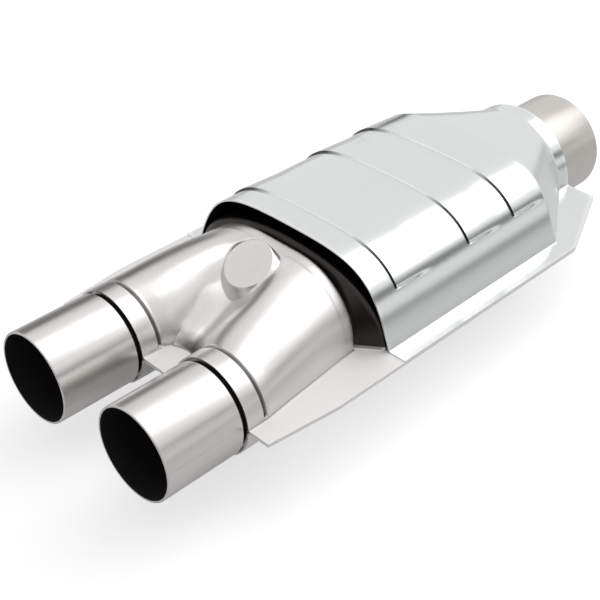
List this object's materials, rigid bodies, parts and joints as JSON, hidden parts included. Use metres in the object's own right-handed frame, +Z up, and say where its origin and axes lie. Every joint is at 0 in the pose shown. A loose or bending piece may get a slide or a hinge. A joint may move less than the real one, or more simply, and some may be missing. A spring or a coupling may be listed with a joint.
{
  "type": "catalytic converter",
  "caption": "Pressed two-shell exhaust catalytic converter with two inlet stubs side by side, one outlet stub, ceramic bricks inside and a ribbed heat shield on top.",
  "frame": {"origin": "on the resting surface, below the middle of the converter's length and width", "axes": "+Y along the gas flow, from the two inlets to the outlet; +X to the right seen from the inlets' rear, across the two inlets; +Z up through the heat shield"},
  "size_m": [0.166, 0.381, 0.0905],
  "materials": {
    "stainless_can": "pressed stainless sheet, fine drawing marks along the flow",
    "stainless_pipe": "brushed stainless tube",
    "aluminised_shield": "smooth bright aluminised steel sheet",
    "ceramic_brick": "matt washcoated ceramic honeycomb",
    "fibre_mat": "dense off-white fibre mat",
    "wire_mesh": "knitted steel wire"
  },
  "bodies": {
    "root": {"upper_shell": "stainless_can", "lower_shell": "stainless_can", "inlet_pipe_right": "stainless_pipe", "inlet_pipe_left": "stainless_pipe", "outlet_pipe": "stainless_pipe", "heat_shield": "aluminised_shield", "front_brick": "ceramic_brick", "rear_brick": "ceramic_brick", "front_mat": "fibre_mat", "rear_mat": "fibre_mat", "front_mat_seal_inlet": "wire_mesh", "front_mat_seal_outlet": "wire_mesh", "rear_mat_seal_inlet": "wire_mesh", "rear_mat_seal_outlet": "wire_mesh"}
  },
  "joints": []
}
